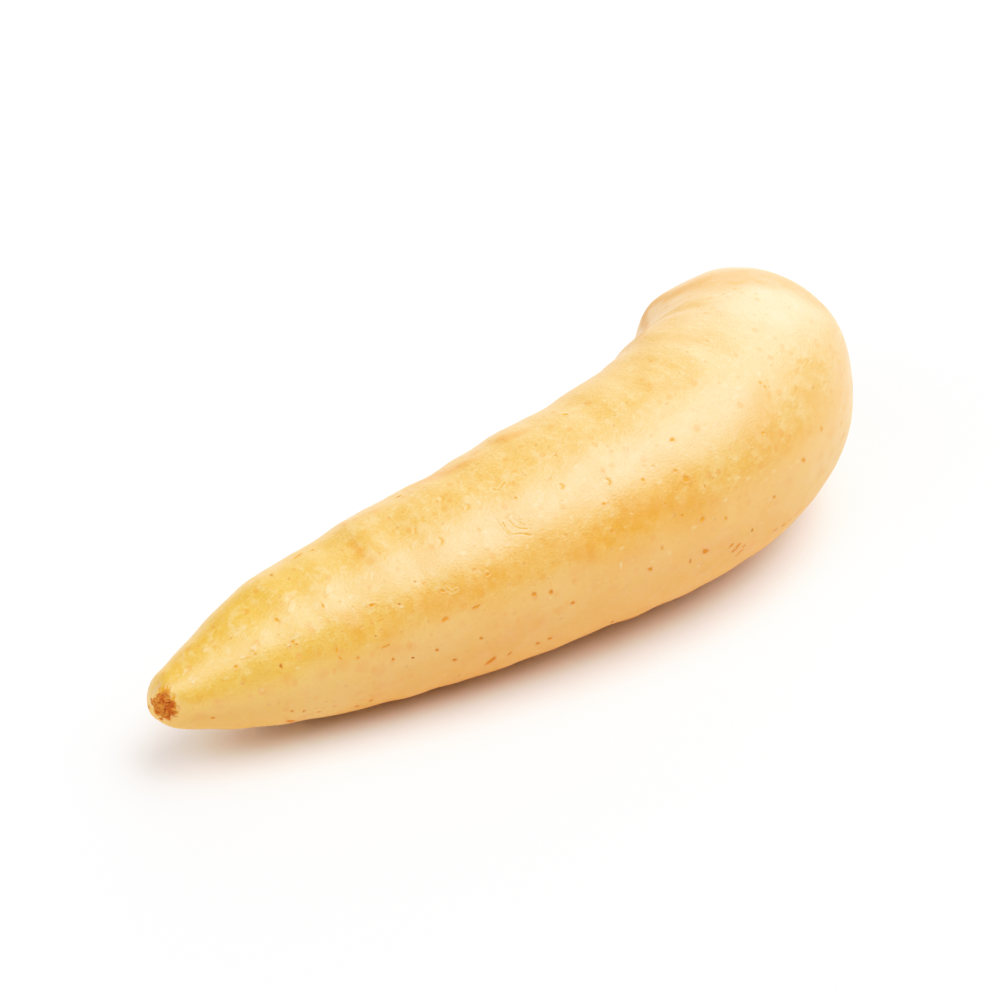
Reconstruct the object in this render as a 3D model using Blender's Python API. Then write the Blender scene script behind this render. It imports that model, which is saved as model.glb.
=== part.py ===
"""An arracacha root lying on its side, in metres with +Z up.

The root grew as one piece, so it is one closed solid. It runs along X, from the broken tip at -X
to the crown end at +X, where it was joined to the plant. Its bend opens towards +Y. The origin is
on the surface that it rests on, under the middle of its box.
"""

import math

import bmesh
import bpy
import numpy as np

MM = 0.001

# Length of the root along its own bend, in millimetres
LENGTH = 204.5

# The root along that length: distance from the tip (mm), heading in plan (degrees from +X towards
# +Y), radius of the section (mm), gap under the section (mm)
STATIONS = (
    (0, -10, 4.8, 14.5),
    (3, -6, 5.9, 13.3),
    (11.5, -3, 9.4, 9.5),
    (26.5, -1.5, 14.6, 4.5),
    (48.5, -6, 19.2, 0.8),
    (75.5, -8, 22.4, 0.0),
    (103.5, -3, 24.8, 0.0),
    (127.5, 5, 26.4, 0.0),
    (143.5, 15, 27.1, 0.0),
    (159.5, 34, 27.1, 0.0),
    (172.5, 57, 26.3, 0.0),
    (184.5, 74, 24.3, 0.0),
    (LENGTH, 90, 21.0, 0.0),
)

# Both ends close in the curve of a squared ellipse: its length (mm) and its exponent
TIP_END = (4.0, 2.4)
CROWN_END = (22.0, 2.05)

# Plan position of the tip (mm), which puts the middle of the box over the origin
TIP_AT = (-97.42, -1.39)

# Low swellings and hollows in the sides: distance from the tip (mm), angle round the section
# (degrees, 0 at the inner side of the bend, 90 on top), height (mm), half length (mm) and half
# spread (degrees)
SWELLINGS = (
    (28, 52, 0.9, 8, 50),
    (48, 58, -0.8, 5, 45),
    (54, 50, 0.5, 8, 45),
    (95, 50, 0.9, 9, 40),
    (116, 50, 0.3, 12, 40),
    (148, 38, 0.9, 9, 32),
    (101, 230, -0.6, 14, 40),
    (66, 140, 0.5, 10, 40),
    (134, 110, 0.5, 14, 45),
    (181, 165, 0.5, 14, 50),
    (197, 38, 2.4, 8, 38),
)

# Soft rings of growth along the whole root, in two sets that fall in and out of step: the spacing
# and the depth of each (mm)
GROWTH_RINGS = ((17.0, 0.08), (10.5, 0.05))

# Folds in the inner side of the bend: distances from the tip (mm), then depth and half width
# (mm), middle angle and half spread (degrees) of them all
FOLDS_AT = (151, 160, 168)
FOLD_DEPTH = 0.7
FOLD_HALF_WIDTH = 1.9
FOLD_ANGLE = -12
FOLD_SPREAD = 30

# The crown face, pressed flat where the root broke from the plant: the distance along the root
# that it is measured from and how far off it lies (mm), the way it faces in plan and above level
# (degrees), and the softness of its edge (mm)
FACE_FROM = 184.5
FACE_OFF = 16.2
FACE_HEADING = 84.0
FACE_TILT = 15.0
FACE_SOFTNESS = 1.2

# The corky scar in the crown face: radius, depth of its dish, height and half width of its lip
# and height of the stub in its middle (mm)
CROWN_SCAR_RADIUS = 9.0
CROWN_SCAR_DEPTH = 1.3
CROWN_LIP_HEIGHT = 0.7
CROWN_LIP_HALF_WIDTH = 1.8
CROWN_STUB_HEIGHT = 0.8

# The scar at the tip, where the thin end of the root snapped off: distance from the tip and
# angle round the section of its middle, radius and depth of its hollow (mm)
TIP_SCAR_AT = (1.6, 165)
TIP_SCAR_RADIUS = 3.6
TIP_SCAR_DEPTH = 0.7

# How far the root's weight presses its underside flat (mm)
SETTLE = 0.4

# Mesh: sides of a section, and rings in the tip's end, the body and the crown's end
SIDES = 56
TIP_RINGS = 8
BODY_RINGS = 50
CROWN_RINGS = 13
SPINE_STEPS = 2000

SKIN_COLOUR = (0.86, 0.62, 0.27, 1.0)
SKIN_ROUGHNESS = 0.48


def smooth_curve(knots, values, at):
    """Values at the given places on the natural cubic curve through the knots."""
    knots = np.asarray(knots, float)
    values = np.asarray(values, float)
    gaps = np.diff(knots)
    slopes = np.diff(values) / gaps
    system = np.eye(len(knots))
    target = np.zeros(len(knots))
    for i in range(1, len(knots) - 1):
        system[i, i - 1 : i + 2] = gaps[i - 1], 2 * (gaps[i - 1] + gaps[i]), gaps[i]
        target[i] = 6 * (slopes[i] - slopes[i - 1])
    bend = np.linalg.solve(system, target)
    i = np.clip(np.searchsorted(knots, at) - 1, 0, len(gaps) - 1)
    before = at - knots[i]
    after = knots[i + 1] - at
    cubic = (bend[i] * after**3 + bend[i + 1] * before**3) / (6 * gaps[i])
    start = (values[i] / gaps[i] - bend[i] * gaps[i] / 6) * after
    end = (values[i + 1] / gaps[i] - bend[i + 1] * gaps[i] / 6) * before
    return cubic + start + end


def station(column, at):
    """One column of the stations, as a smooth curve along the root."""
    table = np.array(STATIONS, float)
    return smooth_curve(table[:, 0], table[:, column], at)


def spine(at):
    """Plan x and y of the root's middle line, and its heading in radians."""
    steps = np.linspace(0, LENGTH, SPINE_STEPS + 1)
    heading = np.radians(station(1, steps))
    half = np.diff(steps) / 2
    x = np.cumsum(np.r_[TIP_AT[0], half * (np.cos(heading[1:]) + np.cos(heading[:-1]))])
    y = np.cumsum(np.r_[TIP_AT[1], half * (np.sin(heading[1:]) + np.sin(heading[:-1]))])
    return np.interp(at, steps, x), np.interp(at, steps, y), np.interp(at, steps, heading)


def ring_places():
    """Distance along the root and share of the full radius of each ring, from tip to crown."""
    tip_length, tip_power = TIP_END
    crown_length, crown_power = CROWN_END
    tip_turn = np.linspace(0, math.pi / 2, TIP_RINGS + 1)
    crown_turn = np.linspace(0, math.pi / 2, CROWN_RINGS + 1)
    tip = tip_length * (1 - np.cos(tip_turn) ** (2 / tip_power))
    body = np.linspace(tip_length, LENGTH - crown_length, BODY_RINGS + 2)[1:-1]
    crown = LENGTH - crown_length * (1 - np.sin(crown_turn) ** (2 / crown_power))
    tip_share = np.sin(tip_turn) ** (2 / tip_power)
    crown_share = np.cos(crown_turn) ** (2 / crown_power)
    crown_share[-1] = 0
    return np.r_[tip, body, crown], np.r_[tip_share, np.ones(BODY_RINGS), crown_share]


def off_angle(angle, middle):
    """Angle in degrees from a middle angle, the short way round."""
    return (np.degrees(angle) - middle + 180) % 360 - 180


def relief(along, angle):
    """How far the skin stands out from the plain round section, in millimetres."""
    sway = 1.4 * np.sin(angle + 0.6) + 0.5 * np.sin(2 * angle)
    total = np.zeros(np.broadcast(along, angle).shape)
    for spacing, depth in GROWTH_RINGS:
        total += depth * np.sin(2 * math.pi * along / spacing + sway)
    for middle, middle_angle, height, half_length, spread in SWELLINGS:
        across = off_angle(angle, middle_angle) / spread
        total += height * np.exp(-(((along - middle) / half_length) ** 2) - across**2)
    for middle in FOLDS_AT:
        across = off_angle(angle, FOLD_ANGLE) / FOLD_SPREAD
        total -= FOLD_DEPTH * np.exp(-(((along - middle) / FOLD_HALF_WIDTH) ** 2) - across**2)
    return total


def skin_point(along, share, angle):
    """Points of the skin at a distance along the root, a share of the radius and an angle."""
    x, y, heading = spine(along)
    radius = station(2, along)
    reach = (radius + relief(along, angle)) * share
    aside = reach * np.cos(angle)
    height = radius + station(3, along) - SETTLE + reach * np.sin(angle)
    return np.stack([x - np.sin(heading) * aside, y + np.cos(heading) * aside, height], -1)


def crown_face():
    """Middle and outward direction of the crown face."""
    from_point = skin_point(FACE_FROM, 0.0, 0.0)
    heading, tilt = math.radians(FACE_HEADING), math.radians(FACE_TILT)
    out = np.array(
        [math.cos(heading) * math.cos(tilt), math.sin(heading) * math.cos(tilt), math.sin(tilt)]
    )
    return from_point + FACE_OFF * out, out


def press_crown(points):
    """Presses the crown end flat, with a soft edge, and sinks its scar."""
    middle, out = crown_face()
    beyond = (points - middle) @ out
    pressed = FACE_SOFTNESS * np.logaddexp(0, beyond / FACE_SOFTNESS)
    points = points - pressed[..., None] * out
    level = points - middle
    reach = np.linalg.norm(level - (level @ out)[..., None] * out, axis=-1)
    dish = np.exp(-((reach / CROWN_SCAR_RADIUS) ** 4))
    lip = np.exp(-(((reach - CROWN_SCAR_RADIUS) / CROWN_LIP_HALF_WIDTH) ** 2))
    stub = np.exp(-((2.5 * reach / CROWN_SCAR_RADIUS) ** 2))
    sink = CROWN_LIP_HEIGHT * lip + CROWN_STUB_HEIGHT * stub - CROWN_SCAR_DEPTH * dish
    on_face = 1 / (1 + np.exp(-beyond / FACE_SOFTNESS))
    return points + (sink * on_face)[..., None] * out


def press_tip_scar(points):
    """Hollows the scar into the side of the tip."""
    along, angle = TIP_SCAR_AT
    middle = skin_point(along, 1.0, math.radians(angle))
    inward = skin_point(along + TIP_SCAR_RADIUS, 0.0, 0.0) - middle
    inward /= np.linalg.norm(inward)
    reach = np.linalg.norm(points - middle, axis=-1)
    hollow = TIP_SCAR_DEPTH * np.exp(-((reach / TIP_SCAR_RADIUS) ** 4))
    return points + hollow[..., None] * inward


def skin_rings():
    """The skin's points, ring by ring. The first and the last ring close to a single point."""
    along, share = ring_places()
    turn = np.linspace(0, 2 * math.pi, SIDES, endpoint=False)
    along, angle = np.meshgrid(along, turn, indexing="ij")
    points = skin_point(along, share[:, None], angle)
    points = press_tip_scar(press_crown(points))
    points[..., 2] = np.maximum(points[..., 2], 0)
    return points * MM


def root_mesh():
    """The closed mesh of the root: quads between rings, and a fan at each end."""
    rings = skin_rings()
    mesh = bpy.data.meshes.new("root")
    bm = bmesh.new()
    tip = bm.verts.new(rings[0, 0])
    crown = bm.verts.new(rings[-1, 0])
    body = [[bm.verts.new(point) for point in ring] for ring in rings[1:-1]]
    for near, far in zip(body, body[1:]):
        for i in range(SIDES):
            j = (i + 1) % SIDES
            bm.faces.new((near[i], near[j], far[j], far[i]))
    for i in range(SIDES):
        j = (i + 1) % SIDES
        bm.faces.new((tip, body[0][j], body[0][i]))
        bm.faces.new((crown, body[-1][i], body[-1][j]))
    bmesh.ops.recalc_face_normals(bm, faces=bm.faces)
    bm.to_mesh(mesh)
    bm.free()
    mesh.shade_smooth()
    return mesh


def skin_material():
    """Cream-yellow skin with a soft gloss."""
    material = bpy.data.materials.new("skin")
    material.use_nodes = True
    shader = material.node_tree.nodes["Principled BSDF"]
    shader.inputs["Base Color"].default_value = SKIN_COLOUR
    shader.inputs["Roughness"].default_value = SKIN_ROUGHNESS
    shader.inputs["Metallic"].default_value = 0.0
    material.diffuse_color = SKIN_COLOUR
    return material


def build():
    for old in list(bpy.data.objects):
        bpy.data.objects.remove(old)
    root = bpy.data.objects.new("root", root_mesh())
    root.data.materials.append(skin_material())
    bpy.context.scene.collection.objects.link(root)


build()
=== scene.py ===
"""Arracacha root: its skin, its torn tip, the corky scar at its crown and the studio round it.

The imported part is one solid, the node `root`. The skin built here follows the same stations as that
solid, with finer rings, and adds what is too fine for it: wrinkles, lenticels, flakes, scratches
and the fibres of both scars. All sizes are in millimetres until a mesh is made.
"""

import math
from typing import Callable, NamedTuple

import bmesh
import bpy
import numpy as np
from bpy.props import FloatProperty, FloatVectorProperty, IntProperty, PointerProperty
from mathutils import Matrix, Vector
from mathutils.bvhtree import BVHTree
from mathutils.kdtree import KDTree


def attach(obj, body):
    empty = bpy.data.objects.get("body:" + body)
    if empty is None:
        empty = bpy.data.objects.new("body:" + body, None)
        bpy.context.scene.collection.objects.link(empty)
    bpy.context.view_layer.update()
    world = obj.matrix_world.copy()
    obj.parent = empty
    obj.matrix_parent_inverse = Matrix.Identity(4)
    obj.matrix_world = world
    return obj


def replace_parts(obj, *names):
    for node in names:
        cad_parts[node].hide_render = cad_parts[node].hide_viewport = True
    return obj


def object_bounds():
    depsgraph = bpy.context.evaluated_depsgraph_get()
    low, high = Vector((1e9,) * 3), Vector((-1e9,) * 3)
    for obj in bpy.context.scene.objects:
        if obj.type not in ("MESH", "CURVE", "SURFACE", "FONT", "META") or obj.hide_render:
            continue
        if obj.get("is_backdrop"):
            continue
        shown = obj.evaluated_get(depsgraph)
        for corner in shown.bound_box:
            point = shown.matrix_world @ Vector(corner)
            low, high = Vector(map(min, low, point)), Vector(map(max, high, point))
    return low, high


bl_info = {
    "name": "Arracacha Root",
    "version": (1, 0, 0),
    "blender": (4, 5, 0),
    "location": "View3D > Sidebar > Arracacha",
    "description": "Grows the skin and scars of an arracacha root over its solid",
    "category": "Mesh",
}

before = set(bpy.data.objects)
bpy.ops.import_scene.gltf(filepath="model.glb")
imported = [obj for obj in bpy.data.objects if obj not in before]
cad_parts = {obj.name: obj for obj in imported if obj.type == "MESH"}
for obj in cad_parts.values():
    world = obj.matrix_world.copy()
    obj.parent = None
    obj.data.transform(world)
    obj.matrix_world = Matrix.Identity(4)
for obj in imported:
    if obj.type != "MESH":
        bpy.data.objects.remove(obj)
SOLID_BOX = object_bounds()

MM = 0.001
FULL_TURN = 2 * math.pi
GOLDEN_ANGLE = 2.39996

# The form of the root, the same as in its solid

# Length of the root along its own bend
LENGTH = 204.5

# Distance from the tip, heading in plan (degrees from +X towards +Y), radius, gap under it
STATIONS = (
    (0, -10, 4.8, 14.5),
    (3, -6, 5.9, 13.3),
    (11.5, -3, 9.4, 9.5),
    (26.5, -1.5, 14.6, 4.5),
    (48.5, -6, 19.2, 0.8),
    (75.5, -8, 22.4, 0.0),
    (103.5, -3, 24.8, 0.0),
    (127.5, 5, 26.4, 0.0),
    (143.5, 15, 27.1, 0.0),
    (159.5, 34, 27.1, 0.0),
    (172.5, 57, 26.3, 0.0),
    (184.5, 74, 24.3, 0.0),
    (LENGTH, 90, 21.0, 0.0),
)

# Columns of the stations
HEADING, RADIUS, GAP = 1, 2, 3

# Both ends close in the curve of a squared ellipse: its length and its exponent
TIP_END = (4.0, 2.4)
CROWN_END = (22.0, 2.05)

# Where the tip lies in plan
TIP_AT = (-97.42, -1.39)

# Low swellings and hollows: distance from the tip, angle round the section (degrees, 0 at the
# inner side of the bend, 90 on top), height, half length and half spread (degrees)
SWELLINGS = (
    (28, 52, 0.9, 8, 50),
    (48, 58, -0.8, 5, 45),
    (54, 50, 0.5, 8, 45),
    (95, 50, 0.9, 9, 40),
    (116, 50, 0.3, 12, 40),
    (148, 38, 0.9, 9, 32),
    (101, 230, -0.6, 14, 40),
    (66, 140, 0.5, 10, 40),
    (134, 110, 0.5, 14, 45),
    (181, 165, 0.5, 14, 50),
    (197, 38, 2.4, 8, 38),
)

# Soft rings of growth: spacing and depth of each set
GROWTH_RINGS = ((17.0, 0.08), (10.5, 0.05))

# Folds in the inner side of the bend
FOLDS_AT = (151, 160, 168)
FOLD_DEPTH = 0.7
FOLD_HALF_WIDTH = 1.9
FOLD_ANGLE = -12
FOLD_SPREAD = 30

# The crown face, pressed flat where the root broke from the plant
FACE_FROM = 184.5
FACE_OFF = 16.2
FACE_HEADING = 84.0
FACE_TILT = 15.0
FACE_SOFTNESS = 1.2

# The scar in the crown face
CROWN_SCAR_RADIUS = 9.0
CROWN_SCAR_DEPTH = 1.3
CROWN_LIP_HEIGHT = 0.7
CROWN_LIP_HALF_WIDTH = 1.8
CROWN_STUB_HEIGHT = 0.8
CROWN_STUB_RADIUS = 3.6

# The scar at the tip
TIP_SCAR_AT = (1.6, 165)
TIP_SCAR_RADIUS = 3.6
TIP_SCAR_DEPTH = 0.7

# How far the root's weight presses its underside flat
SETTLE = 0.4

SPINE_STEPS = 2000

# The fine skin: sides of a section, and rings in the tip's end, the body and the crown's end
SIDES = 176
TIP_STEPS = 26
BODY_STEPS = 196
CROWN_STEPS = 56
STEPS = TIP_STEPS + BODY_STEPS + CROWN_STEPS

# How far past a mark the skin is made finer, in its first and its second round
FINER_REACH = (1.1, 0.6)

# How many sides next to the seam of the flat grid are left as they are
SEAM_SIDES = 4

# Points closer than this are joined (metres)
SAME_PLACE = 1e-6

# The colour masks of the skin, and what each of their channels holds
MASKS = ("zones", "marks", "scars")
YELLOW, PEACH, UNDER, RIM = (("zones", channel) for channel in range(4))
ORANGE, RUST, PALE, SOFT = (("marks", channel) for channel in range(4))
CORK, DARK, STREAK, PINK = (("scars", channel) for channel in range(4))

# Everything seen on the skin is placed by where the photograph shows it: pixel across, pixel down.
# Sizes are in millimetres on the skin. Tilts are in degrees in the picture, 0 level and 90 upright.

# Round orange lenticels: pixel, width
ORANGE_DOTS = (
    (312, 550, 0.9), (293, 642, 0.7), (297, 645, 0.7), (290, 647, 0.6), (253, 651, 0.9),
    (236, 667, 0.9), (213, 718, 0.9), (393, 659, 0.8), (358, 658, 0.8), (357, 707, 1.3),
    (304, 711, 0.8), (319, 712, 0.8), (292, 711, 0.8), (371, 606, 0.8), (455, 660, 1.1),
    (437, 650, 0.9), (459, 675, 0.7), (481, 638, 0.9), (496, 660, 0.7), (488, 575, 0.9),
    (538, 644, 1.2), (550, 639, 1.2), (534, 594, 1.2), (551, 592, 1.2), (573, 603, 1.1),
    (515, 498, 0.8), (604, 504, 0.9), (612, 531, 1.0), (643, 480, 0.9), (665, 504, 0.8),
    (650, 569, 1.4), (662, 548, 0.9), (672, 440, 1.2), (686, 479, 1.9), (702, 519, 1.6),
    (705, 551, 1.9), (726, 518, 1.0), (774, 497, 1.0), (803, 460, 1.5), (763, 433, 1.0),
    (752, 449, 0.5), (760, 383, 0.9), (765, 387, 0.8),
)

# Longer orange lenticels: pixel, length, tilt
ORANGE_DASHES = (
    (277, 620, 1.6, -40), (297, 556, 2.4, 35), (323, 606, 1.2, -60), (372, 605, 1.6, 0),
    (337, 650, 1.6, -75), (340, 658, 1.2, -45), (384, 647, 1.3, 25), (388, 645, 1.0, 30),
    (445, 619, 2.2, 25), (476, 607, 2.1, 30), (443, 591, 1.4, -10), (491, 662, 3.8, 40),
    (510, 654, 1.7, 50), (565, 415, 1.8, 0), (675, 471, 1.2, 0), (705, 486, 1.0, 90),
    (682, 515, 1.2, 0), (690, 561, 1.5, 90), (821, 429, 1.5, 90), (723, 294, 1.0, 20),
    (291, 721, 3.2, 0), (371, 701, 1.6, 45), (666, 308, 1.8, 35), (678, 293, 1.5, 25),
    (731, 545, 1.7, 40), (734, 550, 1.9, 38), (738, 545, 1.8, 42), (741, 551, 1.7, 36),
    (744, 546, 1.4, 40), (737, 555, 1.5, 35), (775, 530, 1.6, 35), (783, 525, 1.8, 38),
    (790, 520, 1.5, 42),
)

# Dark sunken specks: pixel, length, tilt
DARK_SPECKS = (
    (271, 575, 0.9, 0), (376, 636, 0.5, 0), (413, 658, 0.7, 0), (399, 604, 0.6, 0),
    (415, 582, 0.5, 0), (585, 634, 0.8, 0), (398, 496, 1.2, 30), (752, 530, 0.9, 90),
    (281, 666, 1.0, 90), (612, 622, 1.2, 90),
)

# Lifted flakes of pale outer skin: pixel, length, tilt
# The larger ones along the highlight, from (254, 648) to (243, 657), are painted highlight patches,
# raised like flakes.
PALE_FLAKES_AND_HIGHLIGHTS = (
    (503, 488, 1.4, 60), (507, 546, 1.0, 10), (486, 547, 0.9, 80), (527, 547, 0.9, 90),
    (614, 410, 1.2, 0), (699, 566, 1.0, 30), (621, 565, 1.6, 90), (479, 572, 0.8, 20),
    (550, 598, 0.8, 60), (183, 654, 1.2, -50), (193, 642, 1.0, 30), (614, 627, 0.8, 0),
    (277, 579, 0.8, 20), (510, 518, 1.3, 50), (517, 524, 1.2, 30), (521, 517, 1.0, 60),
    (402, 607, 0.9, 0), (365, 580, 0.6, 0), (254, 648, 2.2, 60), (291, 607, 2.4, 70),
    (296, 636, 1.8, 60), (328, 590, 2.2, 60), (372, 575, 2.0, 80), (243, 657, 1.5, 30),
    (185, 671, 1.6, 40), (194, 681, 1.4, 60), (205, 650, 1.2, 20),
)

# Crescents: an orange edge on the right and a pale flake on the left, with their width
CRESCENTS = (
    (439, 500, 1.7), (464, 507, 1.8), (438, 541, 1.8), (559, 487, 1.7), (606, 482, 1.8),
    (412, 530, 1.5), (564, 537, 1.1), (487, 572, 1.2),
)

# Soft stains: pixel, length, tilt, strength
STAINS = (
    (287, 680, 3.0, 60, 0.6), (221, 703, 2.6, 40, 0.5), (591, 554, 4.5, -45, 0.7),
    (629, 517, 1.4, 0, 0.7), (737, 283, 4.6, 0, 0.8), (707, 279, 3.2, 20, 0.7),
    (764, 277, 3.0, -10, 0.7), (815, 345, 2.0, 0, 0.6), (824, 352, 2.2, 0, 0.6),
    (832, 353, 2.8, 0, 0.6), (838, 362, 2.4, 60, 0.6), (844, 365, 1.5, 60, 0.5),
    (811, 395, 8.0, 0, 0.4), (760, 424, 15.0, 20, 0.5), (662, 386, 7.0, 0, 0.5),
    (690, 340, 9.0, 30, 0.4), (803, 299, 1.3, 0, 0.6), (813, 300, 1.3, 0, 0.7),
    (762, 323, 1.4, 0, 0.6), (812, 323, 1.3, 0, 0.5), (825, 317, 1.4, 0, 0.6),
    (782, 352, 1.3, 0, 0.5), (794, 360, 1.3, 0, 0.5), (737, 549, 4.6, 40, 0.8),
    (783, 526, 4.5, 38, 0.6), (436, 475, 11.0, 22, 1.0), (475, 452, 4.0, 20, 0.8),
    (510, 436, 7.0, 18, 0.9), (343, 523, 3.4, 20, 0.7), (376, 511, 2.6, 20, 0.6),
    (358, 550, 5.0, -52, 0.7), (371, 561, 3.0, -40, 0.6), (520, 630, 12.0, 25, 0.5),
    (640, 510, 10.0, 30, 0.5), (575, 548, 9.0, -60, 0.4), (450, 600, 12.0, 20, 0.4),
    (352, 618, 7.0, 10, 0.5), (430, 560, 6.0, 20, 0.3), (700, 500, 9.0, 20, 0.4),
    (390, 645, 8.0, 20, 0.3),
)

# Scratches: width, then the pixels that each runs through
SCRATCHES = (
    (0.17, (503, 522), (507, 529), (512, 534), (521, 533.5), (531, 535)),
    (0.14, (497, 519), (501, 525), (506, 531), (511, 536)),
    (0.14, (509, 520), (514, 525), (519, 528), (527, 529)),
    (0.13, (513, 517), (518, 522), (525, 525)),
    (0.20, (493, 489), (499, 490), (505, 482)),
    (0.18, (446, 588), (452, 592), (457, 589)),
)

# Bulges and hollows near the tip that break up the highlight: pixel, height, half length along
# the root, half width round it
BULGES = (
    (255, 647, 0.22, 3.6, 7), (291, 611, 0.26, 3.8, 8), (323, 592, 0.20, 3.4, 7),
    (371, 582, 0.24, 4.6, 8), (272, 632, -0.20, 2.6, 7), (307, 603, -0.22, 2.6, 8),
    (345, 592, -0.18, 3.2, 8), (412, 556, -0.12, 4.0, 8), (452, 546, 0.14, 4.6, 8),
    (520, 520, 0.12, 6.0, 9), (580, 500, -0.14, 5.0, 9), (352, 545, -0.22, 1.8, 7),
    (640, 470, 0.12, 6.0, 9), (700, 430, -0.12, 5.0, 9), (700, 310, 0.14, 3.2, 10),
    (700, 297, -0.20, 3.4, 10), (672, 317, 0.08, 3.0, 6), (672, 307, -0.13, 3.0, 6),
    (624, 348, -0.2, 5.0, 5), (634, 338, -0.7, 5.0, 5), (652, 306, 0.9, 5.0, 5),
    (150, 711, 0.4, 1.6, 3), (155, 684, -0.7, 2.2, 4), (828, 322, 1.0, 8.0, 8),
)

# The torn tip, all seen in the photograph. Cork: pixel, length, tilt
TIP_CORK = ((163, 706, 6.4, 100), (156, 704, 3.2, 80), (171, 708, 3.6, 80))
TIP_DARK = (
    (170, 706, 2.4, 60), (171, 713, 2.0, 50), (158, 695, 1.3, 50), (162, 699, 1.8, 110),
    (151, 700, 1.1, 90), (157, 712, 1.3, 10), (168, 718, 1.6, 40), (150, 707, 1.0, 90),
    (163, 703, 1.0, 90), (161, 719, 1.2, -20),
)
TIP_CRACKS = (
    (165, 711, 1.9, 86), (163, 703, 0.8, 60), (163, 717, 1.0, 30), (169, 716, 1.3, 55),
    (173, 717, 0.9, 60), (156, 695, 0.9, 40), (152, 704, 0.7, 0), (168, 703, 1.0, 20),
)
TIP_STREAKS = (
    (161, 691, 2.0, 100), (163, 690, 2.2, 95), (166, 691, 2.4, 85), (169, 690, 2.2, 70),
    (158, 689, 1.4, 110), (174, 697, 2.0, 80), (179, 708, 1.7, 90), (177, 713, 1.4, 50),
    (183, 715, 1.4, 85), (167, 686, 1.4, 70),
)
TIP_PINK = ((155, 687, 2.8, 60), (153, 692, 1.8, 75))

# The tan band along the rim of the crown and over the top of the bend: pixel, half width
RIM_BAND = (
    (641, 335, 2.0), (643, 321, 2.2), (648, 309, 2.6), (660, 300, 3.2), (674, 293, 4.8),
    (700, 283, 7.5), (735, 277, 11.0), (765, 277, 11.0), (790, 284, 8.5), (808, 296, 5.0),
)

# Marks scattered by chance over the sides that the photograph doesn't show: how many, the seed,
# the shortest and the longest
HIDDEN_DOTS = (70, 3, 0.6, 1.6)
HIDDEN_DASHES = (35, 4, 1.0, 2.4)
HIDDEN_SPECKS = (12, 5, 0.6, 1.1)
HIDDEN_FLAKES = (12, 6, 0.8, 1.6)
HIDDEN_STAINS = (26, 7, 3, 12)

# Where they may lie: the range along the root, how far the camera may stand out from the skin's
# own plane there (below zero it stands behind it), and the least height over the floor
HIDDEN_FROM = 8
HIDDEN_TO = LENGTH - 12
FACING_AWAY = -60
HIDDEN_LOWEST = 0.5

# How far round the root a second place is taken there to find the skin's plane (radians)
HIDDEN_ASIDE = 0.03

# Random fields on the skin: seed, number of waves, the shortest and the longest wave
UNDULATION_WAVES = (11, 24, 9, 22)
WRINKLE_WAVES = (12, 30, 2.0, 4.6)
WRINKLE_PATCH_WAVES = (13, 12, 20, 50)
COLOUR_DRIFT_WAVES = (21, 16, 25, 60)
TIP_CORK_WAVES = (31, 20, 0.6, 1.8)
CROWN_EDGE_WAVES = (41, 16, 1.5, 5)
CROWN_CORK_WAVES = (42, 24, 0.9, 2.6)

# Wrinkles run round the root: their waves along it and across it
WRINKLE_STRETCH = (1, 0.11, 0.11)

# The camera of the photograph, found by fitting the solid's outline
CAMERA_TURN = -36.6
CAMERA_RISE = 38.0
CAMERA_DISTANCE = 760.0
CAMERA_AIM = (2.15, 9.88, 20.0)
CAMERA_LENS = 121.48
CAMERA_SEES = (0.01, 100.0)
SENSOR = 36.0
PICTURE = 1000
FOCAL_PIXELS = PICTURE * CAMERA_LENS / SENSOR

# The flattest look along the skin at which a mark is still laid out by its tilt in the picture
FLATTEST_SIGHT = -0.15

# How strongly the skin bends light, the gloss of corky skin as a share of the waxy skin's, and
# the gloss of loose fibres
SKIN_IOR = 1.7
CORKY_GLOSS = 0.1
FIBRE_GLOSS = 0.15

# A loose strand: its sides and rings, how far it droops in its own lengths, how much thinner it
# ends, how flat it is, and how far apart the grain of two strands is
STRAND_SIDES = 6
STRAND_STEPS = 6
STRAND_DROOP = 0.35
STRAND_TAPER = 0.75
STRAND_FLATNESS = 0.6
STRAND_SPACING = 7.0

# Any direction that neither scar faces
ASLANT = (0.3, 0.5, 0.8)

# The floor: half its width (metres), how far it lies under the root, and its roughness
FLOOR_HALF = 15.0
FLOOR_GAP = 0.1
FLOOR_ROUGHNESS = 0.9

# Colour of the lights, and how bright the room itself looks behind the root
WHITE = (1.0, 1.0, 1.0)
ROOM_SEEN = 2.0

# The soft shoulder of the photograph's bright tones: light in the scene, and in the picture
TONES = (
    (0.0, 0.0),
    (0.3, 0.3),
    (0.5, 0.5),
    (0.577, 0.575),
    (0.834, 0.753),
    (1.15, 0.938),
    (1.3, 0.985),
    (1.5, 1.0),
)


# Curves, fades and fields


def smooth_curve(knots, values, at):
    """Values at the given places on the natural cubic curve through the knots."""
    knots = np.asarray(knots, float)
    values = np.asarray(values, float)
    gaps = np.diff(knots)
    slopes = np.diff(values) / gaps
    system = np.eye(len(knots))
    target = np.zeros(len(knots))
    for i in range(1, len(knots) - 1):
        system[i, i - 1 : i + 2] = gaps[i - 1], 2 * (gaps[i - 1] + gaps[i]), gaps[i]
        target[i] = 6 * (slopes[i] - slopes[i - 1])
    bend = np.linalg.solve(system, target)
    i = np.clip(np.searchsorted(knots, at) - 1, 0, len(gaps) - 1)
    before = at - knots[i]
    after = knots[i + 1] - at
    cubic = (bend[i] * after**3 + bend[i + 1] * before**3) / (6 * gaps[i])
    start = (values[i] / gaps[i] - bend[i] * gaps[i] / 6) * after
    end = (values[i + 1] / gaps[i] - bend[i + 1] * gaps[i] / 6) * before
    return cubic + start + end


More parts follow.
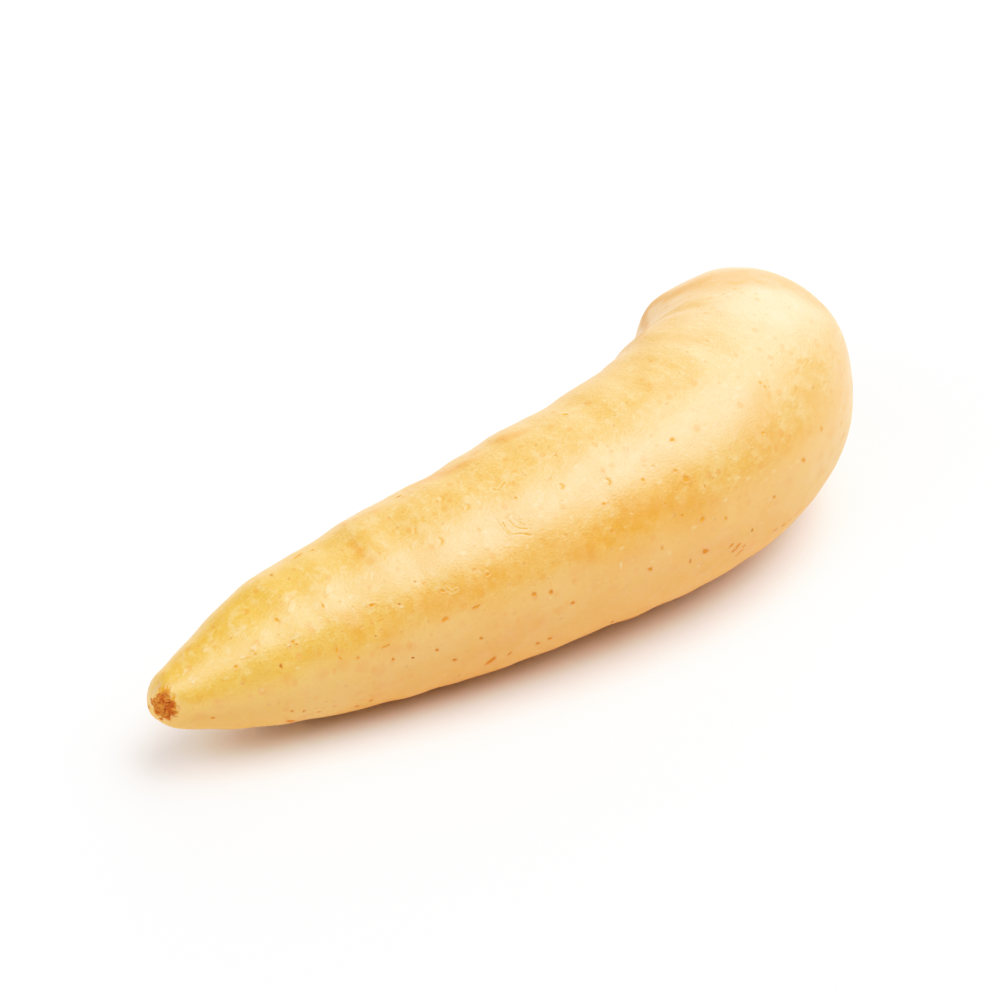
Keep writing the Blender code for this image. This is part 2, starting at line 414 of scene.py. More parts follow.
def fade(value, start, end):
    """1 up to the start, falling smoothly to 0 at the end. It rises where the end comes first."""
    t = np.clip((value - start) / (end - start), 0, 1)
    return 1 - t * t * (3 - 2 * t)


def ridge(value, middle, half_width):
    """1 at the middle, falling softly to both sides."""
    return np.exp(-(((value - middle) / half_width) ** 2))


def disc(reach, radius):
    """1 over a disc, falling steeply at its radius."""
    return np.exp(-((reach / radius) ** 4))


def waves(points, seed, count, shortest, longest):
    """A smooth random field with a spread of about 1, made of sine waves that cross."""
    rng = np.random.default_rng(seed)
    total = np.zeros(len(points))
    for _ in range(count):
        way = rng.normal(size=3)
        way /= np.linalg.norm(way)
        length = shortest * (longest / shortest) ** rng.random()
        phase = rng.random() * FULL_TURN
        total += np.sin(points @ way * (FULL_TURN / length) + phase)
    return total * math.sqrt(2 / count)


def unit(vectors):
    """The vectors at length 1."""
    return vectors / np.maximum(np.linalg.norm(vectors, axis=-1, keepdims=True), 1e-12)


def direction(heading, tilt):
    """Unit vector at a heading from +X towards +Y and a tilt above level, in degrees."""
    heading, tilt = math.radians(heading), math.radians(tilt)
    level = math.cos(tilt)
    return np.array([math.cos(heading) * level, math.sin(heading) * level, math.sin(tilt)])


def off_angle(angle, middle):
    """Angle in degrees from a middle angle, the short way round."""
    return (np.degrees(angle) - middle + 180) % 360 - 180


def off_line(points, start, end):
    """Distance of points from the straight line between two places."""
    span = end - start
    share = np.clip((points - start) @ span / (span @ span), 0, 1)
    return np.linalg.norm(points - start - share[:, None] * span, axis=1)


# The root's form


def station(column, at):
    """One column of the stations, as a smooth curve along the root."""
    table = np.array(STATIONS, float)
    return smooth_curve(table[:, 0], table[:, column], at)


def spine(at):
    """Plan x and y of the root's middle line, and its heading in radians."""
    steps = np.linspace(0, LENGTH, SPINE_STEPS + 1)
    heading = np.radians(station(HEADING, steps))
    half = np.diff(steps) / 2
    x, y = (
        np.cumsum(np.r_[start, half * (part[1:] + part[:-1])])
        for start, part in zip(TIP_AT, (np.cos(heading), np.sin(heading)))
    )
    return np.interp(at, steps, x), np.interp(at, steps, y), np.interp(at, steps, heading)


def ring_at(step):
    """Distance along the root and share of the full radius, at a step from tip to crown."""
    tip_length, tip_power = TIP_END
    crown_length, crown_power = CROWN_END
    tip_turn = np.clip(step / TIP_STEPS, 0, 1) * FULL_TURN / 4
    body = np.clip((step - TIP_STEPS) / BODY_STEPS, 0, 1)
    crown_turn = np.clip((step - TIP_STEPS - BODY_STEPS) / CROWN_STEPS, 0, 1) * FULL_TURN / 4
    along = tip_length * (1 - np.abs(np.cos(tip_turn)) ** (2 / tip_power))
    along = along + body * (LENGTH - tip_length - crown_length)
    along = along + crown_length * np.sin(crown_turn) ** (2 / crown_power)
    share = np.sin(tip_turn) ** (2 / tip_power)
    share = share * np.abs(np.cos(crown_turn)) ** (2 / crown_power)
    return along, share


def form_relief(along, angle):
    """How far the solid's own surface stands out from the plain round section."""
    sway = 1.4 * np.sin(angle + 0.6) + 0.5 * np.sin(2 * angle)
    total = np.zeros(np.broadcast(along, angle).shape)
    for spacing, depth in GROWTH_RINGS:
        total += depth * np.sin(FULL_TURN * along / spacing + sway)
    folds = [(at, FOLD_ANGLE, -FOLD_DEPTH, FOLD_HALF_WIDTH, FOLD_SPREAD) for at in FOLDS_AT]
    for middle, middle_angle, height, half_length, spread in (*SWELLINGS, *folds):
        round_way = ridge(off_angle(angle, middle_angle), 0, spread)
        total += height * ridge(along, middle, half_length) * round_way
    return total


def straight_place(step, angle):
    """Where a point would be if the root were straight: along it, then across the section."""
    along, share = ring_at(step)
    radius = station(RADIUS, along) * share
    return np.stack([along, radius * np.cos(angle), radius * np.sin(angle)], -1)


def crown_face():
    """Middle and outward direction of the crown face."""
    x, y, _ = spine(FACE_FROM)
    inside = np.array([x, y, station(RADIUS, FACE_FROM) + station(GAP, FACE_FROM) - SETTLE])
    out = direction(FACE_HEADING, FACE_TILT)
    return inside + FACE_OFF * out, out


def press_crown(points):
    """Presses the crown end flat, with a soft edge, and sinks its scar."""
    middle, out = crown_face()
    beyond = (points - middle) @ out
    pressed = FACE_SOFTNESS * np.logaddexp(0, beyond / FACE_SOFTNESS)
    points = points - pressed[..., None] * out
    level = points - middle
    reach = np.linalg.norm(level - (level @ out)[..., None] * out, axis=-1)
    raised = CROWN_LIP_HEIGHT * ridge(reach, CROWN_SCAR_RADIUS, CROWN_LIP_HALF_WIDTH)
    raised += CROWN_STUB_HEIGHT * ridge(reach, 0, CROWN_STUB_RADIUS)
    raised -= CROWN_SCAR_DEPTH * disc(reach, CROWN_SCAR_RADIUS)
    on_face = 1 / (1 + np.exp(-beyond / FACE_SOFTNESS))
    return points + (raised * on_face)[..., None] * out


def plain_skin(along, share, angle, height):
    """Points at a height over the plain section, before either end is pressed."""
    x, y, heading = spine(along)
    radius = station(RADIUS, along)
    reach = (radius + height) * share
    aside = reach * np.cos(angle)
    z = radius + station(GAP, along) - SETTLE + reach * np.sin(angle)
    return np.stack([x - np.sin(heading) * aside, y + np.cos(heading) * aside, z], -1)


def tip_scar_place():
    """Middle of the tip scar and the direction into the root there."""
    along, angle = TIP_SCAR_AT
    angle = math.radians(angle)
    middle = plain_skin(along, 1.0, angle, form_relief(along, angle))
    return middle, unit(plain_skin(along + TIP_SCAR_RADIUS, 0.0, 0.0, 0.0) - middle)


def skin_at(step, angle):
    """Points of the skin at a step and an angle."""
    along, share = ring_at(step)
    points = press_crown(plain_skin(along, share, angle, form_relief(along, angle)))
    middle, inward = tip_scar_place()
    reach = np.linalg.norm(points - middle, axis=-1)
    points = points + (TIP_SCAR_DEPTH * disc(reach, TIP_SCAR_RADIUS))[..., None] * inward
    points[..., 2] = np.maximum(points[..., 2], 0)
    return points


# Places behind the photograph's pixels


def camera_axes():
    """Camera position, and its right, up and forward directions."""
    right = direction(CAMERA_TURN, 0)
    back = direction(CAMERA_TURN - 90, CAMERA_RISE)
    return np.array(CAMERA_AIM) + CAMERA_DISTANCE * back, right, np.cross(back, right), -back


class Mark(NamedTuple):
    """A place on the skin with directions along and across it, and a size."""

    middle: np.ndarray
    length_way: np.ndarray
    cross_way: np.ndarray
    length: float


class Sight:
    """Finds the place on the skin behind a pixel of the photograph."""

    def __init__(self, points, faces):
        self.tree = BVHTree.FromPolygons(points.tolist(), faces)
        self.points = points
        self.place, self.right, self.up, self.forward = camera_axes()
        off = points - self.place
        across = np.stack([off @ self.right, -(off @ self.up)], -1)
        self.pixels = PICTURE / 2 + across * (FOCAL_PIXELS / (off @ self.forward))[:, None]

    def look(self, x, y):
        """The place and the outward direction there. Off the outline, the nearest place to it."""
        across = (x - PICTURE / 2) / FOCAL_PIXELS
        down = (y - PICTURE / 2) / FOCAL_PIXELS
        towards = unit(self.forward + across * self.right - down * self.up)
        hit, out, _, _ = self.tree.ray_cast(Vector(self.place), Vector(towards))
        if hit is None:
            off = np.linalg.norm(self.pixels - np.array([x, y], float), axis=1)
            hit, out, _, _ = self.tree.find_nearest(Vector(self.points[int(off.argmin())]))
        hit, out = np.array(hit), np.array(out)
        return hit, -out if out @ towards > 0 else out

    def mark(self, x, y, length, tilt=0):
        """A mark of a length that lies at a tilt in the picture."""
        middle, out = self.look(x, y)
        tilt = math.radians(tilt)
        step = self.right * math.cos(tilt) + self.up * math.sin(tilt)
        line = unit(middle - self.place)
        slid = step - line * (step @ out) / min(line @ out, FLATTEST_SIGHT)
        slid = unit(slid - (slid @ out) * out)
        return Mark(middle, slid, np.cross(out, slid), length)


def seen_marks(sight, rows):
    """Marks from rows of pixel, length and tilt."""
    return [sight.mark(*row) for row in rows]


def hidden_marks(sight, count, seed, shortest, longest):
    """Marks by chance on the sides that face away from the camera."""
    rng = np.random.default_rng(seed)
    body = LENGTH - TIP_END[0] - CROWN_END[0]
    marks = []
    while len(marks) < count:
        along = rng.uniform(HIDDEN_FROM, HIDDEN_TO)
        angle = rng.uniform(0, FULL_TURN)
        step = TIP_STEPS + (along - TIP_END[0]) / body * BODY_STEPS
        steps = np.array([step, step + 1, step])
        angles = np.array([angle, angle, angle + HIDDEN_ASIDE])
        here, ahead, aside = skin_at(steps, angles)
        line = unit(ahead - here)
        out = unit(np.cross(aside - here, line))
        if out @ (sight.place - here) > FACING_AWAY or here[2] < HIDDEN_LOWEST:
            continue
        turn = rng.uniform(0, FULL_TURN / 2)
        long_way = line * math.cos(turn) + np.cross(out, line) * math.sin(turn)
        length = shortest * (longest / shortest) ** rng.random()
        marks.append(Mark(here, long_way, np.cross(out, long_way), length))
    return marks


# Marks pressed and painted into the skin


def search_tree(points):
    tree = KDTree(len(points))
    for i, point in enumerate(points):
        tree.insert(point, i)
    tree.balance()
    return tree


class Canvas:
    """The skin's points with the relief (mm) and the colour masks that marks add to them."""

    def __init__(self, points, straight, angle):
        self.points = points
        self.straight = straight
        self.along = straight[:, 0]
        self.angle = angle
        self.relief = np.zeros(len(points))
        self.masks = {name: np.zeros((len(points), 4)) for name in MASKS}
        self.tree = search_tree(points)

    def near(self, middle, reach):
        """Numbers of the points within a reach of a place."""
        return np.array([i for _, i, _ in self.tree.find_range(Vector(middle), reach)], int)

    def values(self, mask):
        name, channel = mask
        return self.masks[name][:, channel]

    def paint(self, mask, amount, found=slice(None)):
        """Raises a mask to an amount, at some points or at all."""
        values = self.values(mask)
        values[found] = np.maximum(values[found], np.clip(amount, 0, 1))


class Stamp:
    """A slightly ragged oval on the skin: its points, and how far off its middle each is.

    That is in half lengths, and the turn is the way from the middle to the point.
    """

    def __init__(self, canvas, mark, aspect, seed, ragged=0.22, reach=2.6):
        self.canvas = canvas
        self.found = canvas.near(mark.middle, mark.length / 2 * reach + 0.3)
        offset = canvas.points[self.found] - mark.middle
        u = offset @ mark.length_way / (mark.length / 2)
        v = offset @ mark.cross_way / (mark.length / 2 * aspect)
        self.turn = np.arctan2(v, u)
        phase = seed * GOLDEN_ANGLE
        wobble = np.sin(2 * self.turn + phase) + 0.7 * np.sin(3 * self.turn + 2.3 * phase)
        wobble += 0.5 * np.sin(5 * self.turn + 3.1 * phase)
        self.off = np.hypot(u, v) * (1 + ragged * wobble / 2)

    def lift(self, height):
        self.canvas.relief[self.found] += height

    def paint(self, mask, amount):
        self.canvas.paint(mask, amount, self.found)

    def spot(self, mask, strength, start, end):
        """Paints a spot that fades from the start to the end."""
        self.paint(mask, strength * fade(self.off, start, end))


def press_dot(canvas, mark, depth, seed):
    """A lenticel: a shallow orange pit with a low swollen edge."""
    at = Stamp(canvas, mark, 0.85, seed)
    at.lift(depth * (0.45 * ridge(at.off, 1.3, 0.35) - fade(at.off, 0.2, 1.1)))
    at.spot(ORANGE, 0.9, 0.45, 1.25)
    at.spot(SOFT, 0.5, 0.8, 2.2)


def press_dash(canvas, mark, depth, seed):
    """A long lenticel: an orange furrow with a low swollen edge."""
    at = Stamp(canvas, mark, 0.42, seed)
    at.lift(depth * (0.4 * ridge(at.off, 1.4, 0.4) - fade(at.off, 0.2, 1.1)))
    at.spot(ORANGE, 1.0, 0.4, 1.3)
    at.spot(SOFT, 0.4, 0.9, 2.4)


def press_speck(canvas, mark, depth, seed):
    """A dark sunken speck inside an orange edge."""
    at = Stamp(canvas, mark, 0.6, seed)
    at.lift(-1.3 * depth * fade(at.off, 0.2, 1.2))
    at.spot(RUST, 1.0, 0.4, 1.15)
    at.spot(ORANGE, 0.7, 0.9, 1.9)
    at.paint(PALE, 0.2 * ridge(at.off, 2.2, 0.3))


def lift_flake(canvas, mark, depth, seed):
    """A flake of pale outer skin that stands up at its edge, over an orange bed; some are painted
    highlight patches.
    """
    at = Stamp(canvas, mark, 0.5, seed, ragged=0.4)
    at.lift(depth * (0.3 * fade(at.off, 0.6, 1.0) + 0.5 * ridge(at.off, 0.9, 0.2)))
    at.spot(PALE, 0.6, 0.5, 1.15)
    at.paint(ORANGE, 0.55 * np.cos(at.turn - seed) * ridge(at.off, 1.5, 0.4))


def press_crescent(canvas, mark, depth, seed):
    """A torn crescent: an orange edge on the right, a pale flake on the left."""
    at = Stamp(canvas, mark, 0.9, seed, ragged=0.15)
    turn = np.degrees(at.turn)
    right = fade(np.abs(turn - 15), 55, 100)
    edge = ridge(at.off, 1, 0.3) * right
    at.lift(0.2 * depth * fade(at.off, 0.5, 0.95) * (1 - right) - 1.1 * depth * edge)
    at.paint(ORANGE, 0.75 * edge)
    at.paint(PALE, 0.45 * fade(at.off, 0.5, 1.0) * fade(np.abs(turn - 190), 50, 110))


def soak_stain(canvas, mark, strength, seed):
    """A soft stain with no relief of its own."""
    Stamp(canvas, mark, 0.62, seed, ragged=0.5, reach=3.6).spot(SOFT, strength, 0.4, 1.5)


def scratch_parts(sight):
    """Width, start and end of each straight part of the scratches."""
    parts = []
    for width, *pixels in SCRATCHES:
        corners = [sight.look(*pixel)[0] for pixel in pixels]
        parts += [(width, start, end) for start, end in zip(corners, corners[1:])]
    return parts


def cut_scratches(canvas, parts, depth):
    """Fine grooves with pale edges."""
    for width, start, end in parts:
        found = canvas.near((start + end) / 2, np.linalg.norm(end - start) / 2 + 4 * width)
        off = off_line(canvas.points[found], start, end) / width
        relief = canvas.relief[found]
        groove = np.minimum(relief, -0.35 * depth * fade(off, 0.1, 1.2))
        canvas.relief[found] = np.where(off < 1.2, groove, relief)
        canvas.paint(ORANGE, 0.9 * fade(off, 0.4, 1.4), found)
        canvas.paint(PALE, 0.55 * ridge(off, 2.4, 0.7), found)


def all_marks(sight):
    """Every mark that presses into the skin, by the way it is pressed."""
    return {
        press_dot: seen_marks(sight, ORANGE_DOTS) + hidden_marks(sight, *HIDDEN_DOTS),
        press_dash: seen_marks(sight, ORANGE_DASHES) + hidden_marks(sight, *HIDDEN_DASHES),
        press_speck: seen_marks(sight, DARK_SPECKS) + hidden_marks(sight, *HIDDEN_SPECKS),
        lift_flake: seen_marks(sight, PALE_FLAKES_AND_HIGHLIGHTS) + hidden_marks(sight, *HIDDEN_FLAKES),
        press_crescent: seen_marks(sight, CRESCENTS),
    }


def add_texture(canvas, settings):
    """Low undulations and wrinkles that run round the root."""
    canvas.relief += settings.undulation / MM * waves(canvas.straight, *UNDULATION_WAVES)
    wrinkly = waves(canvas.straight * WRINKLE_STRETCH, *WRINKLE_WAVES)
    patchy = fade(waves(canvas.straight, *WRINKLE_PATCH_WAVES), -0.8, 1.2)
    canvas.relief += settings.wrinkle / MM * wrinkly * (0.4 + 0.6 * patchy)


def add_bulges(canvas, sight):
    """The bulges and hollows that the highlight shows."""
    for x, y, height, half_length, half_width in BULGES:
        nearest = canvas.tree.find(Vector(sight.look(x, y)[0]))[1]
        off = canvas.straight - canvas.straight[nearest]
        round_way = np.linalg.norm(off[:, 1:], axis=1)
        canvas.relief += height * ridge(off[:, 0], 0, half_length) * ridge(round_way, 0, half_width)


def add_zones(canvas, sight):
    """Wide changes of colour along and round the root."""
    drift = waves(canvas.straight, *COLOUR_DRIFT_WAVES) * 0.12
    canvas.paint(YELLOW, fade(canvas.along, 18, 75) + drift)
    canvas.paint(PEACH, fade(canvas.along, 190, 125) + drift)
    # How low each point lies round the section, 0 on top and 1 underneath: the skin paints sheen on
    # top and shade underneath by it
    canvas.paint(UNDER, fade(drift - np.sin(canvas.angle), 0.5, -1.0))
    corners = [(sight.look(x, y)[0], half_width) for x, y, half_width in RIM_BAND]
    for (start, reach), (end, _) in zip(corners, corners[1:]):
        off = off_line(canvas.points, start, end) / reach
        canvas.paint(RIM, fade(off + drift, 0.2, 1.1))


def add_tip_scar(canvas, sight):
    """Cork, dark hollows, cracks and streaks where the tip tore off."""
    rough = waves(canvas.points, *TIP_CORK_WAVES)
    for seed, mark in enumerate(seen_marks(sight, TIP_CORK)):
        at = Stamp(canvas, mark, 0.8, seed, ragged=0.25)
        at.spot(CORK, 1.0, 0.75, 1.05)
        at.lift(0.07 * rough[at.found] * fade(at.off, 0.75, 1.05))
    for rows, aspect, first_seed, ragged, depth, even, mask, strength, start, end in (
        (TIP_DARK, 0.6, 5, 0.45, 0.22, 0.3, DARK, 0.55, 0.5, 1.3),
        (TIP_CRACKS, 0.2, 11, 0.22, 0.3, 0.2, DARK, 1.0, 0.5, 1.2),
        (TIP_STREAKS, 0.22, 17, 0.3, 0.1, 0.3, STREAK, 1.0, 0.4, 1.5),
        (TIP_PINK, 0.6, 23, 0.3, 0.0, 0.3, PINK, 0.8, 0.4, 1.3),
    ):
        for seed, mark in enumerate(seen_marks(sight, rows)):
            at = Stamp(canvas, mark, aspect, first_seed + seed, ragged)
            at.lift(-depth * fade(at.off, even, 1.2))
            at.spot(mask, strength, start, end)


def add_crown_scar(canvas):
    """Cork in rings in the crown scar, with a dark edge and streaks that run out of it."""
    middle, out = crown_face()
    offset = canvas.points - middle
    deep = offset @ out
    level = offset - deep[:, None] * out
    reach = np.linalg.norm(level, axis=1)
    sideways = unit(np.cross(out, np.array([0.0, 0.0, 1.0])))
    turn = np.arctan2(level @ np.cross(sideways, out), level @ sideways)
    on_face = fade(np.abs(deep), 3.0, 6.0)
    ragged = 0.6 * np.sin(3 * turn + 1) + 0.3 * np.sin(7 * turn + 2) + 0.1 * np.sin(13 * turn)
    ragged += 0.3 * waves(canvas.points, *CROWN_EDGE_WAVES)
    off = reach - CROWN_SCAR_RADIUS
    cork = fade(off + ragged, -2.0, 0.0) * on_face
    edge = ridge(off + ragged, -0.9, 0.7) * on_face
    pith = fade(reach, 1.2, 2.4) * on_face
    halo = fade(off + ragged, -0.4, 1.6) * on_face
    streak = fade(np.sin(17 * turn + 3 * np.sin(2 * turn)) + 0.4 * ragged, 0.8, 0.1)
    streak *= fade(off, 0, 6) * on_face
    canvas.paint(CORK, cork)
    canvas.paint(DARK, 0.4 * edge + 0.5 * pith)
    canvas.paint(STREAK, np.maximum(0.4 * streak, 0.5 * halo) * (1 - cork))
    fibrous = waves(canvas.points, *CROWN_CORK_WAVES)
    canvas.relief += cork * (0.12 * fibrous + 0.08 * np.sin(reach * 4.2 + ragged))
    canvas.relief -= 0.2 * edge + 0.25 * pith


# The skin's mesh


def flat_grid():
    """A flat grid whose x is the step along the root and whose y is the side of the section."""
    bm = bmesh.new()
    rows = [[bm.verts.new((x, y, 0)) for y in range(SIDES + 1)] for x in range(STEPS + 1)]
    for near, far in zip(rows, rows[1:]):
        for y in range(SIDES):
            bm.faces.new((near[y], near[y + 1], far[y + 1], far[y]))
    bm.verts.index_update()
    return bm


def grid_places(flat):
    """Points of the skin at places of the flat grid."""
    return skin_at(flat[:, 0], flat[:, 1] * FULL_TURN / SIDES)


def corners_of(bm):
    return np.array([vert.co[:2] for vert in bm.verts])


def refine(bm, spots, extra):
    """Splits the grid's faces near some spots. Both ends' caps and the seam stay as they are."""
    faces = list(bm.faces)
    middles = np.array([face.calc_center_median()[:2] for face in faces])
    tree = search_tree(grid_places(middles))
    chosen = set()
    for middle, reach in spots:
        chosen.update(i for _, i, _ in tree.find_range(Vector(middle), reach + extra))
    edges = set()
    for i in chosen:
        x, y = middles[i]
        if TIP_STEPS < x < STEPS - CROWN_STEPS and SEAM_SIDES < y < SIDES - SEAM_SIDES:
            edges.update(faces[i].edges)
    bmesh.ops.subdivide_edges(bm, edges=list(edges), cuts=1, use_grid_fill=True)


def close_grid(bm):
    """Wraps the flat grid round the root. Returns the mesh, the steps and the angles."""
    layers = bm.verts.layers.float
    for name in ("step", "side"):
        layers.new(name)
    step_of, side_of = layers["step"], layers["side"]
    flat = corners_of(bm)
    for vert, (step, side), place in zip(bm.verts, flat, grid_places(flat) * MM):
        vert[step_of] = step
        vert[side_of] = side
        vert.co = place
    bmesh.ops.remove_doubles(bm, verts=bm.verts, dist=SAME_PLACE)
    if any(edge.is_boundary for edge in bm.edges):
        raise RuntimeError("The skin isn't closed.")
    bmesh.ops.triangulate(bm, faces=[face for face in bm.faces if len(face.verts) > 4])
    bmesh.ops.recalc_face_normals(bm, faces=bm.faces)
    steps = np.array([vert[step_of] for vert in bm.verts])
    sides = np.array([vert[side_of] for vert in bm.verts])
    for name in ("step", "side"):
        layers.remove(layers[name])
    mesh = bpy.data.meshes.new("root_skin")
    bm.to_mesh(mesh)
    bm.free()
    return mesh, steps, sides * FULL_TURN / SIDES


def read_vectors(items, name):
    """A vector of each of a mesh's items."""
    values = np.empty(len(items) * 3)
    items.foreach_get(name, values)
    return values.reshape(-1, 3)


def keep_on_mesh(mesh, name, kind, field, values):
    """Stores a value for each point of a mesh."""
    attribute = mesh.attributes.new(name, kind, "POINT")
    attribute.data.foreach_set(field, values.ravel())


def press_marks(canvas, sight, pressed, scratches, depth):
    """Every mark of the skin, in the order in which they lie over each other."""
    for press, marks in pressed.items():
        for seed, mark in enumerate(marks):
            press(canvas, mark, depth, seed + 1)
    for seed, (*row, strength) in enumerate(STAINS):
        soak_stain(canvas, sight.mark(*row), strength, seed + 1)
    for seed, mark in enumerate(hidden_marks(sight, *HIDDEN_STAINS)):
        soak_stain(canvas, mark, 0.5, seed + 3)
    cut_scratches(canvas, scratches, depth)
    add_tip_scar(canvas, sight)
    add_crown_scar(canvas)


def grow_skin(settings):
    """The skin's mesh, with every mark pressed into it and its colour masks."""
    bm = flat_grid()
    faces = [[vert.index for vert in face.verts] for face in bm.faces]
    sight = Sight(grid_places(corners_of(bm)), faces)
    pressed = all_marks(sight)
    scratches = scratch_parts(sight)
    spots = [(mark.middle, mark.length * 0.75) for marks in pressed.values() for mark in marks]
    for _, start, end in scratches:
        spots.append(((start + end) / 2, np.linalg.norm(end - start) * 0.6))
    for extra in FINER_REACH:
        refine(bm, spots, extra)
    mesh, step, angle = close_grid(bm)
    points = read_vectors(mesh.vertices, "co") / MM
    normals = read_vectors(mesh.vertex_normals, "vector")
    canvas = Canvas(points, straight_place(step, angle), angle)
    add_texture(canvas, settings)
    add_bulges(canvas, sight)
    add_zones(canvas, sight)
    press_marks(canvas, sight, pressed, scratches, settings.mark_depth / MM)
    moved = points + canvas.relief[:, None] * normals
    mesh.vertices.foreach_set("co", np.clip(moved * MM, *SOLID_BOX).ravel())
    dry = [canvas.values(mask) for mask in (ORANGE, RUST, CORK, STREAK)]
    corky = np.max([*dry, 1.6 * canvas.values(DARK)], axis=0)
    for face in mesh.polygons:
        face.material_index = int(corky[list(face.vertices)].mean() > 0.5)
    keep_on_mesh(mesh, "straight_place", "FLOAT_VECTOR", "vector", canvas.straight)
    for name, values in canvas.masks.items():
        keep_on_mesh(mesh, name, "FLOAT_COLOR", "color", values)
    mesh.shade_smooth()
    mesh.update()
    return mesh


# Shaders


class Nodes:
    """Adds nodes to a tree and links them."""

    def __init__(self, tree):
        self.tree = tree

    def feed(self, socket, value):
        """Links a value to a socket or sets it there. A colour is given without its alpha."""
        if isinstance(value, bpy.types.NodeSocket):
            self.tree.links.new(value, socket)
        elif socket.type == "RGBA":
            socket.default_value = (*value, 1.0)
        else:
            socket.default_value = value

    def new(self, kind, values=(), **settings):
        """A node with its settings, and with values for its first inputs or for those named."""
        node = self.tree.nodes.new("ShaderNode" + kind)
        for name, value in settings.items():
            setattr(node, name, value)
        for key, value in values.items() if isinstance(values, dict) else enumerate(values):
            self.feed(node.inputs[key], value)
        return node

    def math(self, operation, first, second):
        return self.new("Math", (first, second), operation=operation).outputs[0]

    def times(self, first, second):
        return self.math("MULTIPLY", first, second)

    def total(self, first, *others):
        for other in others:
            first = self.math("ADD", first, other)
        return first

    def ramp(self, value, start, end, low=0.0, high=1.0):
        """A smooth step from the low value at the start to the high value at the end."""
        values = (value, start, end, low, high)
        return self.new("MapRange", values, interpolation_type="SMOOTHSTEP").outputs["Result"]

    def mix(self, share, first, second):
        values = {0: share, 6: first, 7: second}
        return self.new("Mix", values, data_type="RGBA").outputs[2]

    def place(self, name):
        return self.new("Attribute", attribute_name=name).outputs["Vector"]

    def masks(self, name):
        """The four channels of a colour mask."""
        mask = self.new("Attribute", attribute_name=name).outputs
        return *self.new("SeparateColor", [mask["Color"]]).outputs, mask["Alpha"]

    def stretch(self, place, along, across):
        """The place on the straight root, in waves per millimetre along and across it."""
        values = (place, (along, across, across))
        return self.new("VectorMath", values, operation="MULTIPLY").outputs[0]

    def noise(self, place, detail, roughness, distortion=0.0):
        values = {"Vector": place, "Scale": 1.0, "Detail": detail}
        values |= {"Roughness": roughness, "Distortion": distortion}
        return self.new("TexNoise", values).outputs[0]

    def flecks(self, place, rarity, size, softness):
        """Scattered round flecks of different sizes, the largest of the given size."""
        cells = self.new("TexVoronoi", {"Vector": place, "Scale": 1.0}).outputs
        chance = self.new("SeparateColor", [cells["Color"]]).outputs[0]
        reach = self.ramp(chance, rarity, 1.0, -softness, size)
        outside = self.math("SUBTRACT", cells["Distance"], reach)
        return self.ramp(outside, softness / 2, -softness / 2)

    def bump(self, height):
        """The normal of a height in millimetres."""
        return self.new("Bump", {"Distance": MM, "Height": height}).outputs[0]

    def group(self, name, **values):
        """A shared group, built only once, with its own values here."""
        tree = bpy.data.node_groups.get(name) or GROUPS[name](name)
        return self.new("Group", node_tree=tree, values=values).outputs


def new_group(name, inputs, outputs):
    """The nodes of an empty group, what it takes and what it gives."""
    tree = bpy.data.node_groups.new(name, "ShaderNodeTree")
    for way, sockets in (("INPUT", inputs), ("OUTPUT", outputs)):
        for label, kind in sockets.items():
            tree.interface.new_socket(label, in_out=way, socket_type="NodeSocket" + kind)
    taken = tree.nodes.new("NodeGroupInput").outputs
    given = tree.nodes.new("NodeGroupOutput").inputs
    return Nodes(tree), taken, given


def mottle_group(name):
    """Soft patches at three sizes, for colour and roughness."""
    gives = {"Broad": "Float", "Fine": "Float", "Grain": "Float"}
    nodes, taken, given = new_group(name, {"Place": "Vector"}, gives)
    place = taken["Place"]
    broad = nodes.noise(nodes.stretch(place, 0.075, 0.085), 3.0, 0.55, 0.6)
    fine = nodes.noise(nodes.stretch(place, 0.42, 0.34), 3.0, 0.6, 0.3)
    nodes.feed(given["Broad"], nodes.ramp(broad, 0.31, 0.69))
    nodes.feed(given["Fine"], nodes.ramp(fine, 0.28, 0.74))
    nodes.feed(given["Grain"], nodes.noise(nodes.stretch(place, 1.5, 2.5), 2.0, 0.6))
    return nodes.tree


def fibre_group(name):
    """Strands that run along or round the root, as a value and a height (mm)."""
    takes = {"Place": "Vector", "Depth": "Float"}
    nodes, taken, given = new_group(name, takes, {"Strands": "Float", "Height": "Float"})
    strands = nodes.noise(taken["Place"], 4.0, 0.62, 0.4)
    nodes.feed(given["Strands"], nodes.ramp(strands, 0.34, 0.66))
    centred = nodes.math("SUBTRACT", strands, 0.5)
    nodes.feed(given["Height"], nodes.times(centred, taken["Depth"]))
    return nodes.tree


GROUPS = {"Mottle": mottle_group, "Fibre grain": fibre_group}


def new_material(name):
    """A material, its shader's sockets and the nodes that feed them."""
    material = bpy.data.materials.new(name)
    material.use_nodes = True
    shader = material.node_tree.nodes["Principled BSDF"]
    return material, shader.inputs, Nodes(material.node_tree)


